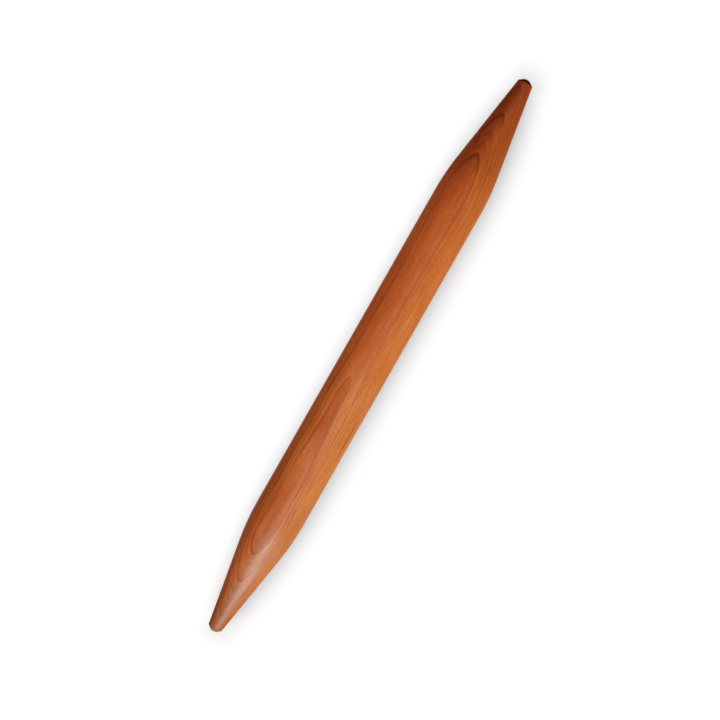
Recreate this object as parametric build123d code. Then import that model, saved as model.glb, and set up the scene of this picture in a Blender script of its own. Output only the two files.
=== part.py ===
from build123d import *
import os

# A tapered rolling pin of the French kind, turned in one piece from a cherry blank.
# It lies along X with its axis on the X axis and its middle at the origin.
# Left is -X and right is +X. Lengths are in millimetres.

# The whole pin
overall_length = 520.0
barrel_diameter = 42.8

# Each taper, along the axis from its tip to where its line meets the barrel's
left_taper_length = 93.5
right_taper_length = 99.0

# The width that is left of each taper where the bevel of its end begins
left_end_diameter = 12.3
right_end_diameter = 13.1

# The long soft curve that leads the barrel into each taper
shoulder_radius = 210.0

# The turned ends: a short bevel, then a low dome over the tip
bevel_length = 2.3
dome_diameter = 7.0
dome_height = 1.15

# The edge between taper and bevel, just eased by sanding
end_edge_radius = 0.4


def end_corners(tip_x, inward, end_diameter, taper_length):
    """Outline corners of one end: the dome's rim, the taper's edge and the shoulder."""
    rim = (tip_x + inward * dome_height, dome_diameter / 2)
    edge = (tip_x + inward * (dome_height + bevel_length), end_diameter / 2)
    shoulder = (tip_x + inward * taper_length, barrel_diameter / 2)
    return rim, edge, shoulder


def half_section():
    """The half of the long section that lies above the axis, as the lathe tool follows it."""
    left_tip = (-overall_length / 2, 0)
    right_tip = (overall_length / 2, 0)
    left_rim, left_edge, left_shoulder = end_corners(
        left_tip[0], 1, left_end_diameter, left_taper_length
    )
    right_rim, right_edge, right_shoulder = end_corners(
        right_tip[0], -1, right_end_diameter, right_taper_length
    )
    with BuildSketch() as section:
        with BuildLine():
            Line(left_tip, right_tip)
            TangentArc(left_tip, left_rim, tangent=(0, 1))
            FilletPolyline(
                left_rim,
                left_edge,
                left_shoulder,
                right_shoulder,
                right_edge,
                right_rim,
                radius=[end_edge_radius, shoulder_radius, shoulder_radius, end_edge_radius],
            )
            TangentArc(right_tip, right_rim, tangent=(0, 1))
        make_face()
    return section.sketch


def rolling_pin():
    """The whole pin, one turn of its half section round the axis."""
    return revolve(half_section(), axis=Axis.X)


os.makedirs("parts", exist_ok=True)
export_step(rolling_pin(), "parts/rolling_pin.step")
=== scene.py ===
# %% [markdown]
# A French rolling pin, turned in one piece from a cherry blank: a straight barrel, a long taper
# at each end and a small bevelled, domed tip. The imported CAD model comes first, because it says
# how large the pin is and where it lies. Blender then gives it a finely turned surface, the
# figure of the wood, and the light of a plain studio table.

import math

import bpy
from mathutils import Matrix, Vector


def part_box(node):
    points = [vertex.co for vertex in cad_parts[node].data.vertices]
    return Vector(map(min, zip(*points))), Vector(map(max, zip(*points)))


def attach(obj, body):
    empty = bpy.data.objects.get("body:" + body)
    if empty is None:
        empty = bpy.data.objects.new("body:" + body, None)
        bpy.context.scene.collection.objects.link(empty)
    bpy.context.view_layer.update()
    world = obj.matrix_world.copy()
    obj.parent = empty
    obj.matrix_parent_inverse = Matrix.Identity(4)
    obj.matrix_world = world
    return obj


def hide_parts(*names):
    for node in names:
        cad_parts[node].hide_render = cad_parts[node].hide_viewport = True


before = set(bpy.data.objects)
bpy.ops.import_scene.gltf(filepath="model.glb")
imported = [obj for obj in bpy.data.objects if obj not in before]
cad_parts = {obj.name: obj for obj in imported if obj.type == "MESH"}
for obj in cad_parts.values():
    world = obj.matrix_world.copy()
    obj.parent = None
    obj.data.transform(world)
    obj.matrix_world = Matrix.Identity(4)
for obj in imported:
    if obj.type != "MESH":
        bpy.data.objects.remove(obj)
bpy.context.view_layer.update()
pin_low, pin_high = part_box("rolling_pin")

MM = 0.001
tip_left = pin_low.x
tip_right = pin_high.x
barrel_radius = min(pin_high.y, -pin_low.y, pin_high.z, -pin_low.z)
table_height = pin_low.z

print("pin runs from", round(tip_left, 4), "to", round(tip_right, 4), "m")
print("barrel radius", round(barrel_radius, 5), "m")

# %% [markdown]
# The camera hangs straight over the table and looks down at the pin, so the whole length is
# seen without foreshortening. A low view from one end would hide the far taper. The camera is
# turned about its own line of sight until the pin's right end points up and to the right in the
# picture, and it stands a little off the pin's middle, because the pin lies off centre.

# %% Camera
photo_width_px = 720
pin_middle_px = (370.2, 355.5)
mm_per_px = 0.8199
pin_slant = math.radians(60.306)
camera_over_axis = 1.25
sensor_width_mm = 36.0

picture_right = (math.cos(pin_slant), -math.sin(pin_slant))
picture_up = (math.sin(pin_slant), math.cos(pin_slant))
right_of_centre = (pin_middle_px[0] - photo_width_px / 2) * mm_per_px * MM
above_centre = (photo_width_px / 2 - pin_middle_px[1]) * mm_per_px * MM
seen_width = photo_width_px * mm_per_px * MM

camera_data = bpy.data.cameras.new("table_camera")
camera_data.sensor_width = sensor_width_mm
camera_data.lens = sensor_width_mm * camera_over_axis / seen_width
camera = bpy.data.objects.new("table_camera", camera_data)
camera.location = (
    -right_of_centre * picture_right[0] - above_centre * picture_up[0],
    -right_of_centre * picture_right[1] - above_centre * picture_up[1],
    camera_over_axis,
)
camera.rotation_euler = (0.0, 0.0, -pin_slant)
bpy.context.scene.collection.objects.link(camera)
bpy.context.scene.camera = camera
print("camera", [round(value, 4) for value in camera.location], "lens", round(camera_data.lens, 2))

# %% [markdown]
# A turner starts with a round blank and lets the tool follow one outline from the headstock to
# the tailstock. The same outline is worked out here as stations: a place along the axis and the
# radius that is left there. It could also be drawn as a curve and spun, but stations show every
# number a turner would mark on the blank, and they fall denser where the outline bends.

# %% Stations on arcs and straight runs
def arc_stations(corner, before, after, radius, steps):
    """Stations on an arc of that radius, rounding the corner between two neighbouring points."""
    angle_in = math.atan2(corner[1] - before[1], corner[0] - before[0])
    angle_out = math.atan2(after[1] - corner[1], after[0] - corner[0])
    turn = angle_out - angle_in
    reach = radius * math.tan(abs(turn) / 2)
    start = (corner[0] - reach * math.cos(angle_in), corner[1] - reach * math.sin(angle_in))
    swing = math.copysign(1, turn) * radius
    middle = (start[0] - swing * math.sin(angle_in), start[1] + swing * math.cos(angle_in))
    stations = []
    for step in range(steps + 1):
        angle = angle_in + turn * step / steps
        place = middle[0] + swing * math.sin(angle)
        stations.append((place, middle[1] - swing * math.cos(angle)))
    return stations


def line_stations(start, end, steps):
    """Stations between two points, both ends left out."""
    stations = []
    for step in range(1, steps):
        share = step / steps
        place = start[0] + share * (end[0] - start[0])
        stations.append((place, start[1] + share * (end[1] - start[1])))
    return stations


# %% Outline of one end
taper_lengths = {"left": 93.5 * MM, "right": 99.0 * MM}
end_radii = {"left": 6.15 * MM, "right": 6.55 * MM}
shoulder_radius = 210.0 * MM
bevel_length = 2.3 * MM
dome_radius = 3.5 * MM
dome_height = 1.15 * MM
eased_edge = 0.4 * MM
smallest_ring = 0.25 * MM

past_shoulder = 1.5
shoulder_steps = 20
taper_steps = 16
edge_steps = 5
bevel_steps = 3
dome_steps = 7


def end_stations(side):
    """Distance from the tip and radius, from the barrel outwards, negative towards the barrel."""
    on_barrel = (-past_shoulder * taper_lengths[side], barrel_radius)
    shoulder = (-taper_lengths[side], barrel_radius)
    edge = (-dome_height - bevel_length, end_radii[side])
    rim = (-dome_height, dome_radius)
    shoulder_arc = arc_stations(shoulder, on_barrel, edge, shoulder_radius, shoulder_steps)
    edge_arc = arc_stations(edge, shoulder, rim, eased_edge, edge_steps)
    taper = line_stations(shoulder_arc[-1], edge_arc[0], taper_steps)
    bevel = line_stations(edge_arc[-1], rim, bevel_steps)
    ball = (dome_radius**2 + dome_height**2) / (2 * dome_height)
    widest = math.asin(dome_radius / ball)
    narrowest = math.asin(smallest_ring / ball)
    dome = []
    for step in range(dome_steps + 1):
        angle = widest + (narrowest - widest) * step / dome_steps
        dome.append((ball * math.cos(angle) - ball, ball * math.sin(angle)))
    return shoulder_arc + taper + edge_arc + bevel + dome


left_stations = end_stations("left")
right_stations = end_stations("right")
print("stations on each end:", len(left_stations), "and", len(right_stations))

# %% [markdown]
# The blank itself is a many-sided cylinder as long as the straight barrel. Each end face is
# then extruded from station to station and scaled to the radius there, which is what the
# turner's gouge does one pass after another. A bevel on a ready cone would be quicker, but its
# curve is not a true arc, and the long shoulder of a rolling pin shows every unevenness.

# %% Blank between the two shoulders
sides = 192
barrel_start = tip_left - left_stations[0][0]
barrel_end = tip_right + right_stations[0][0]

bpy.ops.object.select_all(action="DESELECT")
bpy.ops.mesh.primitive_cylinder_add(
    vertices=sides,
    radius=barrel_radius,
    depth=barrel_end - barrel_start,
    location=((barrel_start + barrel_end) / 2, 0.0, 0.0),
    rotation=(0.0, math.radians(90), 0.0),
)
pin = bpy.context.object
pin.name = "turned_pin"
pin.data.name = "turned_pin"
bpy.ops.object.transform_apply(location=True, rotation=True, scale=True)
print("blank from", round(barrel_start, 4), "to", round(barrel_end, 4), "m")


# %% Select by place
def select_faces(wanted):
    """In edit mode, leaves only those faces selected for which wanted(face) holds."""
    bpy.ops.mesh.select_mode(type="FACE")
    bpy.ops.mesh.select_all(action="DESELECT")
    bpy.ops.object.mode_set(mode="OBJECT")
    for face in bpy.context.object.data.polygons:
        face.select = wanted(face)
    bpy.ops.object.mode_set(mode="EDIT")


def select_long_edges(shortest):
    """In edit mode, leaves only the edges selected that run along X and are longer than that."""
    bpy.ops.mesh.select_mode(type="EDGE")
    bpy.ops.mesh.select_all(action="DESELECT")
    bpy.ops.object.mode_set(mode="OBJECT")
    mesh = bpy.context.object.data
    for edge in mesh.edges:
        first, second = (mesh.vertices[index].co for index in edge.vertices)
        edge.select = abs(second.x - first.x) > shortest
    bpy.ops.object.mode_set(mode="EDIT")


# %% Turn both ends
end_facing = 0.9
barrel_cuts = 23


def turn_end(stations, tip, outward):
    """Draws the blank's end face out through the stations; outward is -1 left and 1 right."""
    select_faces(lambda face: face.normal.x * outward > end_facing and len(face.vertices) == sides)
    place, radius = stations[0]
    for next_place, next_radius in stations[1:]:
        step = (next_place - place) * outward
        bpy.ops.mesh.extrude_region_move(TRANSFORM_OT_translate={"value": (step, 0.0, 0.0)})
        shrink = next_radius / radius
        centre = (tip + outward * next_place, 0.0, 0.0)
        bpy.ops.transform.resize(value=(1.0, shrink, shrink), center_override=centre)
        place, radius = next_place, next_radius
    bpy.ops.mesh.poke()


bpy.ops.object.mode_set(mode="EDIT")
turn_end(left_stations, tip_left, -1)
turn_end(right_stations, tip_right, 1)
select_long_edges((barrel_end - barrel_start) / 2)
bpy.ops.mesh.subdivide(number_cuts=barrel_cuts)
print("ends turned, and the barrel cut into", barrel_cuts + 1, "lengths")

# %% [markdown]
# A turned end closes in one smooth dome. The poke has put a vertex in the middle of each last
# ring, level with it, so it is lifted to the real tip. Doubled points are merged and every face
# is turned outwards. The shading is smooth wherever faces meet at less than 30 degrees. That is
# everywhere on this pin, because even the edge of the bevel is a small arc.

# %% Close and clean the surface
merge_distance = 0.000001
smooth_angle = math.radians(30)


def set_tip(mesh, place):
    """Moves the middle vertex of a poked end face onto the top of its dome."""
    for vertex in mesh.vertices:
        on_axis = math.hypot(vertex.co.y, vertex.co.z) < smallest_ring / 2
        if on_axis and vertex.co.x * place > 0:
            vertex.co = (place, 0.0, 0.0)


bpy.ops.mesh.select_all(action="SELECT")
bpy.ops.mesh.remove_doubles(threshold=merge_distance)
bpy.ops.mesh.normals_make_consistent(inside=False)
bpy.ops.object.mode_set(mode="OBJECT")
set_tip(pin.data, tip_left)
set_tip(pin.data, tip_right)
bpy.ops.object.shade_smooth_by_angle(angle=smooth_angle)

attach(pin, "root")
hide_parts("rolling_pin")
print("turned pin has", len(pin.data.polygons), "faces")

# %% [markdown]
# A material in Blender is a net of small nodes, and the wood of this pin needs about 250. They
# could be placed one by one in the node editor. A few helpers do it here, each named for what it
# adds, so that the recipe for the wood reads as arithmetic.

# %% Helpers for arithmetic
def add_node(tree, kind, label, **settings):
    """A new node with its properties set."""
    node = tree.nodes.new(kind)
    node.label = label
    for name, value in settings.items():
        setattr(node, name, value)
    return node


def feed(tree, socket, value):
    """Links an output to an input, or sets the input when the value is a number or a colour."""
    if isinstance(value, bpy.types.NodeSocket):
        tree.links.new(value, socket)
    else:
        socket.default_value = value


def maths(tree, operation, first, second=0.0, third=0.0, label="", clamp=False):
    """One step of arithmetic. Returns its output."""
    node = add_node(tree, "ShaderNodeMath", label, operation=operation, use_clamp=clamp)
    feed(tree, node.inputs[0], first)
    feed(tree, node.inputs[1], second)
    feed(tree, node.inputs[2], third)
    return node.outputs[0]


def product(tree, value, *others):
    """Several values multiplied together, one after another."""
    for other in others:
        value = maths(tree, "MULTIPLY", value, other)
    return value


def span(tree, value, low, high, new_low=0.0, new_high=1.0, label="", smooth=False):
    """Maps low..high to new_low..new_high and holds the value at both ends."""
    node = add_node(tree, "ShaderNodeMapRange", label, clamp=True)
    if smooth:
        node.interpolation_type = "SMOOTHSTEP"
    feed(tree, node.inputs["Value"], value)
    feed(tree, node.inputs["From Min"], low)
    feed(tree, node.inputs["From Max"], high)
    feed(tree, node.inputs["To Min"], new_low)
    feed(tree, node.inputs["To Max"], new_high)
    return node.outputs["Result"]


def weakened(tree, mask, loss):
    """1 where the mask is 0, and less by the loss where the mask is 1."""
    return maths(tree, "MULTIPLY_ADD", mask, -loss, 1.0)


# %% Helpers for places and drawn lines
def split(tree, vector, label="along, across, up"):
    """The three parts of a place: along the pin, to its left, and up."""
    node = add_node(tree, "ShaderNodeSeparateXYZ", label)
    tree.links.new(vector, node.inputs[0])
    return node.outputs


def combine(tree, x=0.0, y=0.0, z=0.0, label=""):
    """Three values as one vector."""
    node = add_node(tree, "ShaderNodeCombineXYZ", label)
    for socket, value in zip(node.inputs, (x, y, z)):
        feed(tree, socket, value)
    return node.outputs[0]


def drawn_curve(tree, value, points, label, straight=False):
    """A value read from a line drawn through the points, which are in real units."""
    places = [place for place, _ in points]
    heights = [height for _, height in points]
    low, high = min(places), max(places)
    bottom, top = min(heights), max(heights)
    node = add_node(tree, "ShaderNodeFloatCurve", label)
    line = node.mapping.curves[0]
    for index, (place, height) in enumerate(points):
        spot = ((place - low) / (high - low), (height - bottom) / (top - bottom))
        if index in (0, len(points) - 1):
            point = line.points[0] if index == 0 else line.points[-1]
            point.location = spot
        else:
            point = line.points.new(*spot)
        point.handle_type = "VECTOR" if straight else "AUTO_CLAMPED"
    node.mapping.update()
    feed(tree, node.inputs["Value"], span(tree, value, low, high))
    return span(tree, node.outputs["Value"], 0.0, 1.0, bottom, top)


# %% Helper for groups
VECTOR = "NodeSocketVector"
FLOAT = "NodeSocketFloat"


def new_group(name, inputs, outputs):
    """An empty node group, its input node and its output node."""
    tree = bpy.data.node_groups.new(name, "ShaderNodeTree")
    for label, kind, value in inputs:
        socket = tree.interface.new_socket(label, in_out="INPUT", socket_type=kind)
        if value is not None:
            socket.default_value = value
    for label, kind in outputs:
        tree.interface.new_socket(label, in_out="OUTPUT", socket_type=kind)
    return tree, tree.nodes.new("NodeGroupInput"), tree.nodes.new("NodeGroupOutput")


# %% [markdown]
# Cherry grows as a cone of thin sheets, one a year: pale wood in spring, then a darker line
# that stops sharply where the next spring begins. A turned surface cuts those sheets at a
# slant, and the loops and long lines on the pin are nothing but those cuts. An image could be
# wrapped round the pin, but it would show a seam and would not agree with the end grain. So the
# sheets themselves are described as heights inside the wood, and the surface cuts them.
#
# The first group answers one question for any point of the wood: how far above one chosen
# sheet, the one that draws the large loop, does it lie? The heart of the tree is above the pin,
# so the sheets bow upwards at their sides. They also lean to one side, and rise and sink along
# the pin as the trunk did. Those lines are drawn in degrees and millimetres.

# %% Lines that the sheets follow
lean_along_pin = [
    (-260.0, 7.0), (-212.0, 8.9), (-190.0, 9.8), (-170.0, 10.1), (-146.0, 9.3), (-122.0, 9.3),
    (-105.0, 10.5), (-90.0, 11.4), (-75.0, 11.7), (-62.0, 12.1), (-50.0, 13.0), (-40.0, 14.1),
    (-30.0, 14.6), (-18.0, 15.0), (-5.0, 15.4), (12.0, 15.9), (36.0, 16.5), (60.0, 16.2),
    (85.0, 15.8), (105.0, 16.5), (130.0, 16.8), (157.0, 17.8), (177.0, 18.3), (204.0, 18.8),
    (223.0, 20.0), (244.0, 22.4), (260.0, 23.0),
]
sheet_along_pin = [
    (-260.0, 12.60), (-212.0, 13.65), (-190.0, 14.08), (-170.0, 14.74), (-146.0, 15.84),
    (-122.0, 15.92), (-105.0, 16.10), (-90.0, 16.20), (-75.0, 16.26), (-62.0, 16.37),
    (-50.0, 16.45), (-40.0, 16.67), (-30.0, 16.96), (-18.0, 17.42), (-5.0, 17.78),
    (12.0, 18.12), (36.0, 18.28), (60.0, 18.34), (85.0, 18.28), (105.0, 17.94), (130.0, 17.57),
    (157.0, 17.55), (177.0, 17.65), (204.0, 17.75), (223.0, 17.80), (260.0, 17.70),
]
inner_gap_along_pin = [
    (-260.0, 3.90), (-212.0, 3.90), (-170.0, 3.87), (-146.0, 3.76), (-122.0, 3.80),
    (-105.0, 3.92), (-90.0, 4.10), (-75.0, 4.33), (-62.0, 4.45), (-50.0, 4.47), (-40.0, 4.36),
    (-30.0, 4.29), (-18.0, 4.50), (-5.0, 4.73), (12.0, 4.92), (36.0, 5.03), (60.0, 4.97),
    (85.0, 4.90), (105.0, 4.95), (130.0, 5.03), (157.0, 5.05), (188.0, 4.97), (260.0, 5.0),
]
print("loop sheet drawn at", len(sheet_along_pin), "places")

# %% Height above the loop's sheet
mm_per_m = 1000.0
sheet_bow_radius = 100.0

height_group, given, result = new_group(
    "sheet height",
    [("Position", VECTOR, None)],
    [("Height", FLOAT), ("Across", FLOAT), ("Millimetres", VECTOR)],
)
tree = height_group
in_mm = add_node(tree, "ShaderNodeVectorMath", "metres to millimetres", operation="SCALE")
tree.links.new(given.outputs["Position"], in_mm.inputs[0])
in_mm.inputs["Scale"].default_value = mm_per_m
along, left_side, up = split(tree, in_mm.outputs[0])

lean = maths(tree, "RADIANS", drawn_curve(tree, along, lean_along_pin, "lean of the sheets"))
lean_cos = maths(tree, "COSINE", lean)
lean_sin = maths(tree, "SINE", lean)
height = maths(tree, "MULTIPLY_ADD", left_side, lean_sin, product(tree, up, lean_cos))
across = maths(tree, "SUBTRACT", product(tree, up, lean_sin), product(tree, left_side, lean_cos))
bow = product(tree, across, across)
bow = maths(tree, "DIVIDE", bow, 2 * sheet_bow_radius, label="bow round the heart")
sheet = drawn_curve(tree, along, sheet_along_pin, "height of the loop's sheet")
height = maths(tree, "SUBTRACT", maths(tree, "SUBTRACT", height, bow), sheet)
print("sheet height group:", len(tree.nodes), "nodes so far")

# %% [markdown]
# A small loop lies inside the large one, and the gap between their two sheets changes along the
# pin. A third drawn line gives that gap, and the height is stretched by it so that the small
# loop's sheet always lies at the same number. Deep below the loops nothing is stretched, because
# that would push the years on the underside up and down.

# %% Even gap to the inner loop
inner_loop_height = 4.0
even_depth = 12.0

gap = drawn_curve(tree, along, inner_gap_along_pin, "gap to the inner loop")
near = maths(tree, "MAXIMUM", height, -even_depth)
near = product(tree, near, maths(tree, "DIVIDE", inner_loop_height, gap))
far = maths(tree, "MINIMUM", maths(tree, "ADD", height, even_depth), 0.0)
height = maths(tree, "ADD", near, far)
tree.links.new(height, result.inputs["Height"])
tree.links.new(across, result.inputs["Across"])
tree.links.new(in_mm.outputs[0], result.inputs["Millimetres"])
print("sheet height group:", len(tree.nodes), "nodes")

# %% [markdown]
# The second group turns that height into years. No sheet is perfectly even, so the height first
# wavers a little, by one slow noise and one quicker one. Both are stretched along the fibres.
# Without them every line would look ruled.

# %% Wavering sheets
slow_grain = (0.022, 0.07, 0.05)
quick_grain = (0.10, 0.30, 0.12)
waver_height = 0.12
ripple_height = 0.07

years_group, given, result = new_group(
    "years of growth",
    [("Height", FLOAT, 0.0), ("Across", FLOAT, 0.0), ("Millimetres", VECTOR, None)],
    [("Late Wood", FLOAT), ("Early Wood", FLOAT), ("Layers", FLOAT), ("Height", FLOAT)],
)
tree = years_group
along, left_side, _ = split(tree, given.outputs["Millimetres"])
flat_height = given.outputs["Height"]
flat_across = given.outputs["Across"]


def noise(tree, vector, detail, roughness=0.5, label=""):
    """Smooth noise between 0 and 1, most of it near the middle."""
    node = add_node(tree, "ShaderNodeTexNoise", label)
    tree.links.new(vector, node.inputs["Vector"])
    node.inputs["Scale"].default_value = 1.0
    node.inputs["Detail"].default_value = detail
    node.inputs["Roughness"].default_value = roughness
    return node.outputs["Fac"]


def grain_place(tree, height, per_mm):
    """A noise place in the wood's own directions, each with its own number per millimetre."""
    values = zip((along, flat_across, height), per_mm)
    return combine(tree, *(product(tree, value, scale) for value, scale in values))


def off_middle(tree, value, amount):
    """Noise from 0..1 as a shift of up to half the amount each way."""
    return product(tree, maths(tree, "SUBTRACT", value, 0.5), amount)


slow = noise(tree, grain_place(tree, flat_height, slow_grain), 1.0, label="slow waver")
quick = noise(tree, grain_place(tree, flat_height, quick_grain), 1.0, label="quick ripple")
waver = off_middle(tree, slow, 2 * waver_height)
ripple = off_middle(tree, quick, 2 * ripple_height)
height = maths(tree, "ADD", flat_height, maths(tree, "ADD", waver, ripple))
print("sheets waver by", waver_height, "mm and ripple by", ripple_height, "mm")

# %% [markdown]
# A calendar gives the height at which each year ended and how dark its last wood became. The
# heart of the tree is above, so going up is going back in time: just above a year's end comes
# its dark late wood, then the paler summer, then spring. A regular wave would be simpler, but no
# tree grows evenly, and wide and narrow years side by side are what makes a figure look like
# wood. On the barrel of this pin the dark lines are broader and softer than on its tapers, so a
# drawn breadth spreads them there.

# %% Years of growth
years = [
    (-40.2, 0.50), (-35.9, 0.42), (-31.8, 0.52), (-28.5, 0.40), (-24.4, 0.50), (-19.3, 0.45),
    (-15.7, 0.45), (-14.0, 0.10), (-12.05, 0.45), (-9.9, 0.12), (-8.3, 0.45), (-7.45, 0.22),
    (-6.6, 0.10), (-5.08, 0.54), (-2.8, 0.28), (-1.5, 0.08), (-0.05, 0.50), (1.6, 0.04),
    (3.75, 0.52), (4.9, 0.0),
]
bark_side, heart_side = -43.5, 9.0
bark_darkness, heart_darkness = 0.4, 0.1
within_a_year = [
    (0.0, 0.60), (0.04, 1.0), (0.16, 0.95), (0.25, 0.42), (0.38, 0.14), (0.65, 0.03), (1.0, 0.0),
]
early_in_a_year = [(0.0, 0.0), (0.50, 0.0), (0.75, 0.6), (0.90, 1.0), (1.0, 1.0)]
broad_along_pin = [
    (-260.0, 1.0), (-212.0, 1.1), (-180.0, 2.2), (150.0, 2.2), (190.0, 1.1), (260.0, 1.0),
]

calendar = [(bark_side, 0.0)]
for number, (year_end, _) in enumerate(years):
    calendar.append((year_end, number + 1.0))
calendar.append((heart_side, len(years) + 1.0))
year_number = drawn_curve(tree, height, calendar, "calendar of the years", straight=True)
year_share = maths(tree, "FRACT", year_number, label="share of the year, backwards")
early = drawn_curve(tree, year_share, early_in_a_year, "pale spring wood", straight=True)
breadth = drawn_curve(tree, along, broad_along_pin, "breadth of the lines")
year_share = maths(tree, "DIVIDE", year_share, breadth)
late = drawn_curve(tree, year_share, within_a_year, "within a year", straight=True)
year_darkness = [(bark_side, bark_darkness)] + years + [(heart_side, heart_darkness)]
how_dark = drawn_curve(tree, height, year_darkness, "how dark", straight=True)
print("years drawn:", len(years))

# %% [markdown]
# The lines are not equally strong all over the pin. They come and go slowly, and they are
# strongest on the right taper and on the red side. The nested curves on that taper are faint
# right of the middle, and for a short way on their left. Spring wood shows more towards the
# right end. Drawn lines and soft masks along and across the pin set all this. It could be left
# to noise alone, but then it would not be this pin.

# %% Strength of the lines
lines_along_pin = [
    (-260.0, 0.45), (-235.0, 0.60), (-218.0, 1.25), (-200.0, 1.25), (-180.0, 1.05),
    (-140.0, 1.15), (-110.0, 1.20), (-80.0, 1.10), (-58.0, 0.95), (-35.0, 0.85), (0.0, 0.80),
    (60.0, 0.63), (120.0, 0.61), (155.0, 0.74), (190.0, 1.60), (260.0, 1.40),
]
lines_across_pin = [
    (-21.4, 0.5), (-12.5, 0.5), (-10.0, 0.9), (-7.0, 0.95), (-4.0, 0.78), (-1.0, 0.8), (4.0, 1.0),
    (10.0, 1.1), (16.0, 1.50), (21.4, 1.25),
]
fade_grain = (0.030, 0.09, 0.3)
fade_noise, fade_strength = (0.3, 0.7), (0.85, 1.18)
spring_grows, spring_strength = (-40.0, 30.0), (1.0, 1.7)
right_branch_across, right_branch_along = (4.0, -3.0), (150.0, 185.0)
left_branch_across, left_branch_along = (11.0, 13.0), (172.0, 182.0)
left_branch_ends = (214.0, 204.0)
branch_loss = 0.60


def where_both(tree, first, first_span, second, second_span):
    """1 where both values are past their spans, and 0 where either falls short."""
    return product(tree, span(tree, first, *first_span), span(tree, second, *second_span))


fade = noise(tree, grain_place(tree, height, fade_grain), 1.0, label="lines come and go")
fade = span(tree, fade, *fade_noise, *fade_strength)
early = product(tree, early, how_dark, fade, span(tree, along, *spring_grows, *spring_strength))
right_branch = where_both(tree, left_side, right_branch_across, along, right_branch_along)
left_branch = where_both(tree, left_side, left_branch_across, along, left_branch_along)
left_branch = product(tree, left_branch, span(tree, along, *left_branch_ends))
late = product(
    tree,
    late,
    how_dark,
    fade,
    drawn_curve(tree, left_side, lines_across_pin, "lines across"),
    weakened(tree, right_branch, branch_loss),
    weakened(tree, left_branch, branch_loss),
)
strength_along = drawn_curve(tree, along, lines_along_pin, "lines along")
late = maths(tree, "MULTIPLY", late, strength_along, clamp=True)
print("strength of the lines set at", len(lines_along_pin), "places")

# %% [markdown]
# Within a year the wood also grows in finer layers, too many to count. They follow the same
# sheets, so they are noise that changes quickly with height and very slowly along the grain.

# %% Fine layers in a year
layer_grain = (0.016, 0.08, 1.3)
layer_detail, layer_roughness = 2.0, 0.65

layer_place = grain_place(tree, height, layer_grain)
layers = noise(tree, layer_place, layer_detail, layer_roughness, label="fine layers in a year")
tree.links.new(late, result.inputs["Late Wood"])
tree.links.new(early, result.inputs["Early Wood"])
tree.links.new(layers, result.inputs["Layers"])
tree.links.new(height, result.inputs["Height"])
print("years of growth group:", len(tree.nodes), "nodes")

# %% [markdown]
# Cherry also has fibres that run along the pin, pores too fine to count, and gum: short dark
# streaks where the tree healed itself. Fibres and pores are noise stretched along the grain.
# One group serves both, and softer clouds and flecks too, each with its own length and width.

# %% Fibres and pores
fibre_detail, fibre_roughness = 2.0, 0.55

fibre_group, given, result = new_group(
    "fibres",
    [("Millimetres", VECTOR, None), ("Length", FLOAT, 80.0), ("Width", FLOAT, 0.8)],
    [("Fibre", FLOAT)],
)
tree = fibre_group
parts = split(tree, given.outputs["Millimetres"])
lengths = (given.outputs["Length"], given.outputs["Width"], given.outputs["Width"])
shares = (maths(tree, "DIVIDE", part, length) for part, length in zip(parts, lengths))
stretched = combine(tree, *shares)
fibre = noise(tree, stretched, fibre_detail, fibre_roughness, label="fibres")
tree.links.new(fibre, result.inputs["Fibre"])
print("fibre group:", len(tree.nodes), "nodes")

# %% [markdown]
# A gum streak is a long soft lens in the surface. Its place is given as a distance along the pin
# and an angle round it, so it bends with the turned wood, and a slow wobble keeps it from lying
# dead straight. Small meshes laid on the pin could do the same, but they would stand proud.

# %% Gum streaks
wobble_per_mm = 0.08
wobble_turn = 0.06

gum_group, given, result = new_group(
    "gum streak",
    [
        ("Millimetres", VECTOR, None),
        ("Middle", FLOAT, 0.0),
        ("Half Length", FLOAT, 10.0),
        ("Angle", FLOAT, 0.0),
        ("Width", FLOAT, 1.0),
    ],
    [("Streak", FLOAT)],
)
tree = gum_group
along, left_side, up = split(tree, given.outputs["Millimetres"])
wobble = noise(tree, combine(tree, product(tree, along, wobble_per_mm)), 1.0, label="wobble")
turned = maths(tree, "ARCTAN2", product(tree, left_side, -1.0), up)
turned = maths(tree, "ADD", turned, off_middle(tree, wobble, wobble_turn))
aside = maths(tree, "SUBTRACT", turned, maths(tree, "RADIANS", given.outputs["Angle"]))
aside = maths(tree, "MULTIPLY", aside, barrel_radius / MM, label="millimetres aside")
aside = maths(tree, "DIVIDE", aside, given.outputs["Width"])
ahead = maths(tree, "SUBTRACT", along, given.outputs["Middle"])
ahead = maths(tree, "DIVIDE", ahead, given.outputs["Half Length"])
away = maths(tree, "ADD", product(tree, aside, aside), product(tree, ahead, ahead))
tree.links.new(span(tree, away, 1.0, 0.0, smooth=True), result.inputs["Streak"])
print("gum streak group:", len(tree.nodes), "nodes")

# %% [markdown]
# On the bevel and the dome the tool cut straight across the fibres. Such end grain drinks more
# oil and turns darker than the long wood beside it. The mask for each end is read from how far a
# point lies from its tip, because the shape of the pin is known, and it starts within a
# millimetre of the bevel. A mask by the slope of the surface would creep up the taper.

# %% End grain
first_dark, all_dark = 0.8 * MM, 0.1 * MM

end_group, given, result = new_group(
    "end grain",
    [("Millimetres", VECTOR, None)],
    [("Left End", FLOAT), ("Right End", FLOAT)],
)
tree = end_group
along = split(tree, given.outputs["Millimetres"])[0]
end_start = (dome_height + bevel_length + first_dark) / MM
end_full = (dome_height + bevel_length + all_dark) / MM
left_end = span(tree, along, tip_left / MM + end_start, tip_left / MM + end_full)
right_end = span(tree, along, tip_right / MM - end_start, tip_right / MM - end_full)
tree.links.new(left_end, result.inputs["Left End"])
tree.links.new(right_end, result.inputs["Right End"])
print("groups:", [group.name for group in bpy.data.node_groups])

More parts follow.
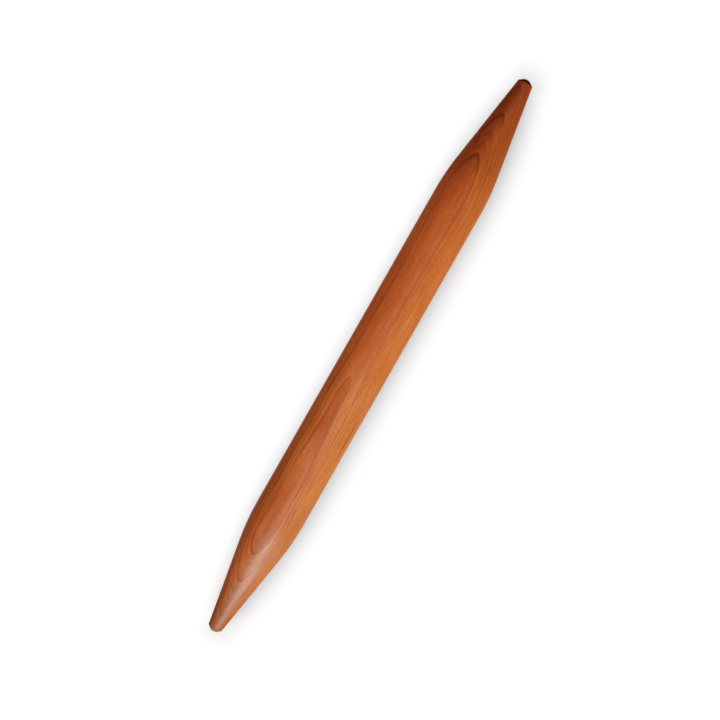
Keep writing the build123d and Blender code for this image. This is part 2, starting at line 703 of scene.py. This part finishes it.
# %% [markdown]
# The finish is a rubbed oil: it deepens the colour, leaves the pores open and gives a broad,
# soft sheen instead of a mirror. One Principled shader does that. The groups above only hand it
# colours and masks, so each of them can be looked at alone. The wood reads Object coordinates,
# which belong to the pin itself, so the figure stays in the wood wherever the pin is moved.

# %% Cherry and its groups
def place_group(tree, group, label, **values):
    """Puts a group into a tree and feeds its inputs by name."""
    node = add_node(tree, "ShaderNodeGroup", label)
    node.node_tree = group
    for name, value in values.items():
        feed(tree, node.inputs[name.replace("_", " ")], value)
    return node


cherry = bpy.data.materials.new("cherry")
cherry.use_nodes = True
tree = cherry.node_tree
shader = tree.nodes["Principled BSDF"]
place = add_node(tree, "ShaderNodeTexCoord", "place in the wood")
sheets = place_group(tree, height_group, "sheet height", Position=place.outputs["Object"])
millimetres = sheets.outputs["Millimetres"]
growth = place_group(
    tree,
    years_group,
    "years of growth",
    Height=sheets.outputs["Height"],
    Across=sheets.outputs["Across"],
    Millimetres=millimetres,
)
ends = place_group(tree, end_group, "end grain", Millimetres=millimetres)
along, left_side, up = split(tree, millimetres)
from_axis = maths(tree, "MULTIPLY_ADD", left_side, left_side, product(tree, up, up))
radius_here = maths(tree, "SQRT", from_axis)
turned_left = maths(tree, "DIVIDE", left_side, radius_here, label="share of the radius")
pin.data.materials.clear()
pin.data.materials.append(cherry)
print("cherry starts with", len(tree.nodes), "nodes")

# %% [markdown]
# The colour of the blank drifts from an orange side to a red side, as cherry does on its way to
# the heart. Both tapers are darker than the barrel, the right one redder and the left one a
# little cooler. On the left taper that darkening is painted shade. On the right one it is partly
# painted shade and partly redder wood. Colour ramps across and along the pin hold the drift and
# this shade. One flat colour under the lines would make them look printed.

# %% Drift of the colour and painted shade on the tapers
wood_across_pin = [
    (-21.4, (0.606, 0.168, 0.034)),
    (-8.0, (0.615, 0.160, 0.029)),
    (0.0, (0.685, 0.167, 0.034)),
    (9.0, (0.732, 0.156, 0.030)),
    (21.4, (0.660, 0.130, 0.023)),
]
tone_and_shade_along_pin = [
    (-260.0, (0.545, 0.62, 0.71)),
    (-190.0, (0.825, 0.965, 1.11)),
    (-95.0, (0.955, 1.075, 1.11)),
    (95.0, (1.005, 0.985, 0.94)),
    (150.0, (0.965, 0.88, 0.80)),
    (188.0, (0.765, 0.60, 0.50)),
    (260.0, (0.57, 0.395, 0.335)),
]
orange_side_along_pin = [
    (-260.0, (1.0, 1.0, 1.0)),
    (-165.0, (0.97, 0.98, 0.97)),
    (-75.0, (1.02, 1.09, 1.10)),
    (0.0, (1.01, 1.03, 1.03)),
    (60.0, (0.97, 0.96, 0.91)),
    (170.0, (0.96, 0.96, 0.93)),
    (260.0, (1.0, 1.0, 1.0)),
]
orange_side_starts = (-4.0, -12.0)

# The Mix node has the same names on its sockets for numbers and for colours, so those for
# colours are taken by their place.
colour_a, colour_b, mixed_colour = 6, 7, 2


def tone_ramp(tree, value, stops, label):
    """A tint that changes slowly with a value in millimetres."""
    low, high = stops[0][0], stops[-1][0]
    node = add_node(tree, "ShaderNodeValToRGB", label)
    ramp = node.color_ramp
    ramp.interpolation = "EASE"
    ramp.elements[0].color = (*stops[0][1], 1.0)
    ramp.elements[1].color = (*stops[-1][1], 1.0)
    for place, tint in stops[1:-1]:
        ramp.elements.new((place - low) / (high - low)).color = (*tint, 1.0)
    tree.links.new(span(tree, value, low, high), node.inputs[0])
    return node.outputs[0]


def tinted(tree, share, colour, tint, label, kind="MULTIPLY"):
    """A colour multiplied by a tint where the share is 1, or mixed with it when kind is MIX."""
    node = add_node(tree, "ShaderNodeMix", label, data_type="RGBA", blend_type=kind)
    feed(tree, node.inputs["Factor"], share)
    feed(tree, node.inputs[colour_a], colour)
    feed(tree, node.inputs[colour_b], tint)
    return node.outputs[mixed_colour]


colour = tone_ramp(tree, left_side, wood_across_pin, "orange side to red side")
# painted shade: this tone darkens both tapers towards their tips, and on the right taper also
# stands for redder wood
tint = tone_ramp(tree, along, tone_and_shade_along_pin, "tone and painted taper shade along the pin")
colour = tinted(tree, 1.0, colour, tint, "drift and painted taper shade along the pin")
orange_side = span(tree, left_side, *orange_side_starts)
orange_tint = tone_ramp(tree, along, orange_side_along_pin, "tone of the orange side")
colour = tinted(tree, orange_side, colour, orange_tint, "drift of the orange side")
print("colour stops across:", len(wood_across_pin))

# %% [markdown]
# Inside each loop lies older wood, a little darker and redder. Spring wood lightens the colour,
# the late lines darken it, and painted shade darkens the left side of the right taper, which
# turns away from the soft box. Each is a tint that multiplies what lies below, as a stain would,
# so none of them hides the drift.

# %% Figure of the wood
small_loop_tint = (0.94, 0.85, 0.87, 1.0)
large_loop_tint = (0.86, 0.84, 0.88, 1.0)
early_tint = (1.12, 1.20, 1.22, 1.0)
late_tint = (0.58, 0.26, 0.04, 1.0)
painted_shade_left_tint = (0.70, 0.62, 0.44, 1.0)
small_loop_edge, small_loop_along = (3.8, 4.2), (-20.0, -70.0)
large_loop_edge, large_loop_along = (-0.3, 0.3), (-40.0, 40.0)
large_loop_depth, large_loop_share = (0.3, 2.6), (1.0, 0.42)
painted_shade_left_turn, painted_shade_left_along = (-0.1, 0.5), (125.0, 205.0)

above_sheet = growth.outputs["Height"]
in_small_loop = where_both(tree, above_sheet, small_loop_edge, along, small_loop_along)
in_large_loop = where_both(tree, above_sheet, large_loop_edge, along, large_loop_along)
past_edge = span(tree, above_sheet, *large_loop_depth, *large_loop_share)
loop_share = product(tree, in_large_loop, past_edge)
painted_shade_left = where_both(tree, turned_left, painted_shade_left_turn, along, painted_shade_left_along)
colour = tinted(tree, in_small_loop, colour, small_loop_tint, "inside the small loop")
colour = tinted(tree, loop_share, colour, large_loop_tint, "inside the large loop")
colour = tinted(tree, growth.outputs["Early Wood"], colour, early_tint, "spring wood")
colour = tinted(tree, growth.outputs["Late Wood"], colour, late_tint, "dark lines")
# painted shade: the left side of the right taper is darkened in the colour where it turns away
# from the soft box
colour = tinted(tree, painted_shade_left, colour, painted_shade_left_tint, "painted shade on the right taper's left side")
print("cherry with its figure:", len(tree.nodes), "nodes")

# %% [markdown]
# The fine tones come last: layers that calm down inside the large loop, fibres, pores, soft
# clouds and small flecks. Together they make one tone near 1. Oiled wood loses blue and green
# faster than red as it darkens, so the tone is raised to a higher power for those two. A plain
# grey tone would make the dark fibres look dusty.

# %% Fine tones
layers_along_pin = [(-260.0, 0.34), (-190.0, 0.41), (-60.0, 0.42), (0.0, 0.30), (260.0, 0.27)]
calm_in_loop = 0.58
deeper_green, deeper_blue = 2.8, 5.2
fine_grain = [
    ("fibres", 45.0, 1.2, (0.25, 0.75), (0.95, 1.05)),
    ("pores", 2.2, 0.16, (0.28, 0.42), (0.90, 1.00)),
    ("soft clouds", 28.0, 7.0, (0.25, 0.75), (0.94, 1.06)),
    ("flecks", 1.8, 0.9, (0.25, 0.75), (0.91, 1.09)),
]

layer_strength = drawn_curve(tree, along, layers_along_pin, "strength of the layers")
layer_strength = product(tree, layer_strength, weakened(tree, in_large_loop, calm_in_loop))
layer_tone = maths(tree, "SUBTRACT", growth.outputs["Layers"], 0.5)
tone = maths(tree, "MULTIPLY_ADD", layer_tone, layer_strength, 1.0)
grain = {}
for name, length, width, noise_reach, tones in fine_grain:
    pattern = place_group(
        tree, fibre_group, name, Millimetres=millimetres, Length=length, Width=width
    )
    grain[name] = pattern.outputs["Fibre"]
    tone = product(tree, tone, span(tree, grain[name], *noise_reach, *tones))
green_tone = maths(tree, "POWER", tone, deeper_green)
blue_tone = maths(tree, "POWER", tone, deeper_blue)
colour = tinted(tree, 1.0, colour, combine(tree, tone, green_tone, blue_tone), "fine tones")
print("fine tones:", list(grain))

# %% [markdown]
# The gum streaks are listed at their places on the real pin. Each has its middle and half its
# length in millimetres, its angle from the top in degrees, half its width, and how dark it is.
# The end of the right tip is much darker than that of the left one, partly as end grain and
# partly as painted shade, because it faces away from the soft box, so its mask counts for more.

# %% Gum, end grain and painted shade on this pin
gum_places = [
    (-37.0, 13.0, -48.8, 0.8, 0.75),
    (-31.0, 5.0, -48.8, 0.7, 0.90),
    (-126.0, 11.0, -45.0, 0.8, 0.45),
    (-71.0, 27.0, 57.5, 0.75, 0.90),
    (-90.0, 12.0, 47.0, 0.6, 0.30),
    (-37.0, 12.0, 44.0, 2.4, 0.12),
    (150.0, 13.0, -18.0, 2.2, 0.16),
    (70.0, 14.0, 160.0, 0.9, 0.50),
    (-110.0, 10.0, 120.0, 0.8, 0.50),
    (196.0, 7.0, -46.0, 3.2, 0.38),
    (246.6, 1.8, -22.0, 3.4, 0.45),
]
gum_brown = (0.155, 0.010, 0.002, 1.0)
end_grain_and_shade_tint = (0.285, 0.245, 0.225, 1.0)
left_tip_share = 0.15

streaks = 0.0
for middle, half_length, angle, width, darkness in gum_places:
    streak = place_group(
        tree,
        gum_group,
        "gum streak",
        Millimetres=millimetres,
        Middle=middle,
        Half_Length=half_length,
        Angle=angle,
        Width=width,
    )
    streaks = maths(tree, "MAXIMUM", streaks, product(tree, streak.outputs["Streak"], darkness))
colour = tinted(tree, streaks, colour, gum_brown, "gum", "MIX")
# painted shade: the right tip's mask counts in full, so its end darkens from painted shade as well
# as end grain
end_grain_and_shade_share = product(tree, ends.outputs["Left End"], left_tip_share)
end_grain_and_shade_share = maths(tree, "ADD", ends.outputs["Right End"], end_grain_and_shade_share)
colour = tinted(tree, end_grain_and_shade_share, colour, end_grain_and_shade_tint, "end grain")
print("gum streaks:", len(gum_places))

# %% [markdown]
# Under the hand the wood is smooth, but its pores are open and its layers stand a trace apart,
# which breaks up the sheen. A bump this shallow needs no displaced mesh. The dark lines are
# harder wood, so they polish a little better than the pale wood between them.

# %% Roughness and open pores
rough_pale_wood, rough_dark_lines = 0.55, 0.48
rough_by_fibres = 0.12
layer_relief = 0.25
pore_strength = 0.10
pore_depth = 0.05 * MM

rough = span(tree, growth.outputs["Late Wood"], 0.0, 1.0, rough_pale_wood, rough_dark_lines)
rough = maths(tree, "ADD", rough, off_middle(tree, grain["fibres"], rough_by_fibres))
tree.links.new(rough, shader.inputs["Roughness"])
relief = maths(tree, "MULTIPLY_ADD", growth.outputs["Layers"], layer_relief, grain["pores"])
bump = add_node(tree, "ShaderNodeBump", "open pores")
bump.inputs["Strength"].default_value = pore_strength
bump.inputs["Distance"].default_value = pore_depth
tree.links.new(relief, bump.inputs["Height"])
tree.links.new(bump.outputs["Normal"], shader.inputs["Normal"])
print("pores", round(pore_depth / MM, 2), "mm deep")

# %% [markdown]
# Oiled wood is matt where it is seen at a slant, because the open grain scatters the light, while
# bare Principled gloss would grow a pale rim there. Layer Weight says how slanted the surface
# is, and the specular level goes down with it. The soaked end grain of the right tip has no
# gloss, and the left side of the pin has less than its top.

# %% Gloss at a slant
wood_ior = 1.5
even_weight = 0.5
full_shine = 0.08
slanted_shine = 0.035
shine_turns_off = (0.12, 0.50)
dull_side, dull_share = (0.5, 0.85), (1.0, 0.45)

slant = add_node(tree, "ShaderNodeLayerWeight", "slant of the view")
slant.inputs["Blend"].default_value = even_weight
facing = slant.outputs["Facing"]
shine = span(tree, facing, *shine_turns_off, full_shine, slanted_shine, smooth=True)
on_long_side = maths(tree, "SUBTRACT", 1.0, ends.outputs["Right End"])
shine = product(tree, shine, on_long_side, span(tree, turned_left, *dull_side, *dull_share))
tree.links.new(shine, shader.inputs["Specular IOR Level"])
shader.inputs["IOR"].default_value = wood_ior
print("specular level", slanted_shine, "to", full_shine)

# %% [markdown]
# The oil was rubbed on by hand and lies thickest along the middle of the left taper, where it
# leaves a broad sheen. It is the coat of the shader, and its weight is a mask of two drawn lines,
# one across the pin and one along it. Where the film is thick the base colour is also cooled, a
# painted tone that makes the sheen look cool. The specular level could be raised there instead,
# but the nodes that drive it are lost when the model is exported, and a mask on the coat is kept.

# %% Oil film
film_across = [
    (-1.0, 0.10), (-0.84, 0.23), (-0.62, 0.48), (-0.4, 0.60), (-0.3, 0.62), (-0.2, 0.75),
    (0.0, 1.0), (0.2, 0.90), (0.33, 0.38), (0.45, 0.20), (0.62, 0.0), (1.0, 0.0),
]
film_along = [
    (-260.0, 0.62), (-245.0, 0.76), (-230.0, 0.90), (-205.0, 1.0), (-180.0, 0.95), (-150.0, 0.47),
    (-100.0, 0.48), (-40.0, 0.44), (0.0, 0.34), (100.0, 0.24), (150.0, 0.10), (185.0, 0.0),
    (260.0, 0.0),
]
painted_sheen_tone = (0.84, 0.92, 1.0, 1.0)
sheen_tone_film_span = (0.3, 0.8)
film_roughness = 0.48
film_ior = 1.75

film = product(
    tree,
    drawn_curve(tree, turned_left, film_across, "film across"),
    drawn_curve(tree, along, film_along, "film along"),
    on_long_side,
)
tree.links.new(film, shader.inputs["Coat Weight"])
# painted sheen tone: the base colour is cooled where the film is thick, so that the sheen looks
# cool
colour = tinted(tree, span(tree, film, *sheen_tone_film_span), colour, painted_sheen_tone, "painted cool tone of the sheen")
tree.links.new(colour, shader.inputs["Base Color"])
shader.inputs["Coat Roughness"].default_value = film_roughness
shader.inputs["Coat IOR"].default_value = film_ior
print("cherry material:", len(tree.nodes), "nodes")

# %% [markdown]
# The pin lies on a white table, here one large square at the height of the barrel's underside.
# Its edges lie far outside the picture, and from the side they melt into the pale room, so it
# needs no backdrop behind it.

# %% Table
table_size = 8.0

bpy.ops.object.select_all(action="DESELECT")
bpy.ops.mesh.primitive_plane_add(size=table_size, location=(0.0, 0.0, table_height))
table = bpy.context.object
table.name = "table"
bpy.ops.object.transform_apply(location=True, rotation=True, scale=True)
print("table at", round(table.data.vertices[0].co.z, 5), "m")

# %% [markdown]
# To the camera the white of the table comes mostly from its own paint and a little from a faint
# glow, so that it stays white at a plain level of light and still takes the soft shadow of the
# pin. The pin throws orange light on the table beside it, and the glow evens that with some
# green and blue where the pin is near, which Ambient Occlusion measures. There is less of it at
# the slim tips, and none under the pin, where it would show as a cold fringe from the side.

# %% Evened bounce beside the pin
table_glow = 0.02
cool_bounce = (0.0, 0.21, 0.26)
bounce_reach = 0.4
bounce_samples = 4
near_barrel = (130.0 * MM, 210.0 * MM)
bounce_at_tips = 0.65
taper_span = (150.0 * MM, 257.0 * MM)
slim_tip = 6.0 * MM
out_from_under = (0.6, 1.0)

white = bpy.data.materials.new("white table")
white.use_nodes = True
tree = white.node_tree
tree.nodes.clear()
nearby = add_node(tree, "ShaderNodeAmbientOcclusion", "how much the pin hides")
nearby.samples = bounce_samples
nearby.inputs["Distance"].default_value = bounce_reach
place = add_node(tree, "ShaderNodeTexCoord", "place on the table")
along, aside, _ = split(tree, place.outputs["Object"])
from_middle = maths(tree, "ABSOLUTE", along)
half_width = span(
    tree, from_middle, *taper_span, barrel_radius, slim_tip, label="half width of the pin"
)
beside = maths(tree, "DIVIDE", maths(tree, "ABSOLUTE", aside), half_width)
hidden = product(
    tree,
    maths(tree, "SUBTRACT", 1.0, nearby.outputs["AO"]),
    span(tree, from_middle, *near_barrel, 1.0, bounce_at_tips),
    span(tree, beside, *out_from_under, label="none under the pin"),
)
glows = (maths(tree, "MULTIPLY_ADD", hidden, amount, table_glow) for amount in cool_bounce)
evened = combine(tree, *glows)
print("glow", table_glow, "and up to", cool_bounce, "beside the pin")

# %% [markdown]
# Rays from the camera, and those that a mirror or a glass sends on, see this paint and glow.
# Light that is on its way to the pin meets a greyer paint without any glow. One paint for both
# would flood the underside of the pin.

# %% White table
table_paint = (0.96, 0.96, 0.96, 1.0)
table_bounce = (0.665, 0.665, 0.665, 1.0)


def seen_share(tree):
    """1 for camera, mirror and glass rays, and 0 for light that is on its way to a surface."""
    rays = add_node(tree, "ShaderNodeLightPath", "kind of ray")
    share = maths(tree, "MAXIMUM", rays.outputs["Is Camera Ray"], rays.outputs["Is Glossy Ray"])
    return maths(tree, "MAXIMUM", share, rays.outputs["Is Transmission Ray"])


paint = add_node(tree, "ShaderNodeBsdfDiffuse", "paint")
paint.inputs["Color"].default_value = table_paint
glow = add_node(tree, "ShaderNodeEmission", "faint glow")
tree.links.new(evened, glow.inputs["Color"])
seen = add_node(tree, "ShaderNodeAddShader", "seen by the camera")
tree.links.new(paint.outputs[0], seen.inputs[0])
tree.links.new(glow.outputs[0], seen.inputs[1])
bounced = add_node(tree, "ShaderNodeBsdfDiffuse", "met by other light")
bounced.inputs["Color"].default_value = table_bounce
choice = add_node(tree, "ShaderNodeMixShader", "by kind of ray")
tree.links.new(seen_share(tree), choice.inputs[0])
tree.links.new(bounced.outputs[0], choice.inputs[1])
tree.links.new(seen.outputs[0], choice.inputs[2])
output = add_node(tree, "ShaderNodeOutputMaterial", "surface")
tree.links.new(choice.outputs[0], output.inputs["Surface"])
table.data.materials.append(white)
print("white table:", len(tree.nodes), "nodes")

# %% [markdown]
# The world is the pale room round the table. It lights everything faintly and evenly, but looks
# white to the camera and in reflections, so the background needs no extra light on the pin. High
# up it turns dark, like a studio ceiling, or the whole top of the pin would mirror white.

# %% World
world_light = 0.27
plain_white = (1.0, 1.0, 1.0, 1.0)
ceiling_shade = 0.03
ceiling_starts = math.sin(math.radians(22))
ceiling_full = math.sin(math.radians(55))

world = bpy.data.worlds.new("pale studio")
world.use_nodes = True
tree = world.node_tree
background = tree.nodes["Background"]
background.inputs["Color"].default_value = plain_white
looking = add_node(tree, "ShaderNodeTexCoord", "direction")
upwards = split(tree, looking.outputs["Generated"], "how far up")[2]
seen_white = span(tree, upwards, ceiling_starts, ceiling_full, 1.0, ceiling_shade, smooth=True)
strength = span(tree, seen_share(tree), 0.0, 1.0, world_light, seen_white)
tree.links.new(strength, background.inputs["Strength"])
bpy.context.scene.world = world
print("world light", world_light)

# %% [markdown]
# One large soft box stands beyond the left end of the pin, on its right side, and leans over it.
# It draws the broad sheen on the left taper and leaves the bevel of the right tip dark. It
# lights the pin alone. Two very broad suns light the table alone, one slanting in over each end
# of the pin and both a little from its left, so the shadow is soft all round and deeper on the
# right. One lamp for both could not give such a pale shadow and such a full sheen together.

# %% Soft box over the pin
key_place = (-0.76, -0.667, 1.0)
key_aim = (-0.05, 0.0, 0.0)
key_size = 0.8
key_power = 17.5


def aimed(start, end):
    """Rotation that points a lamp from start to end."""
    return (Vector(end) - Vector(start)).to_track_quat("-Z", "Y").to_euler()


def light_only(lamp, thing):
    """Puts the lamp in the scene and lets it light only this object."""
    bpy.context.scene.collection.objects.link(lamp)
    lit = bpy.data.collections.new("lit by " + lamp.name)
    lit.objects.link(thing)
    lamp.light_linking.receiver_collection = lit


key_data = bpy.data.lights.new("soft box", "AREA")
key_data.shape = "SQUARE"
key_data.size = key_size
key_data.energy = key_power
key = bpy.data.objects.new("soft box", key_data)
key.location = key_place
key.rotation_euler = aimed(key_place, key_aim)
light_only(key, pin)
print("soft box", round(Vector(key_place).length, 2), "m from the middle of the pin")

# %% Suns over the table
table_lights = [
    ("table light", (-5.0, -38.5), 64, 1.90),
    ("weaker table light", (-8.4, 38.3), 68.6, 1.385),
]

for name, (lean_aside, lean_along), spread, strength in table_lights:
    sun_data = bpy.data.lights.new(name, "SUN")
    sun_data.angle = math.radians(spread)
    sun_data.energy = strength
    sun = bpy.data.objects.new(name, sun_data)
    sun.rotation_euler = (math.radians(lean_aside), math.radians(lean_along), 0.0)
    light_only(sun, table)
    print(name, "spreads over", spread, "degrees")
bpy.context.scene.view_settings.view_transform = "Standard"
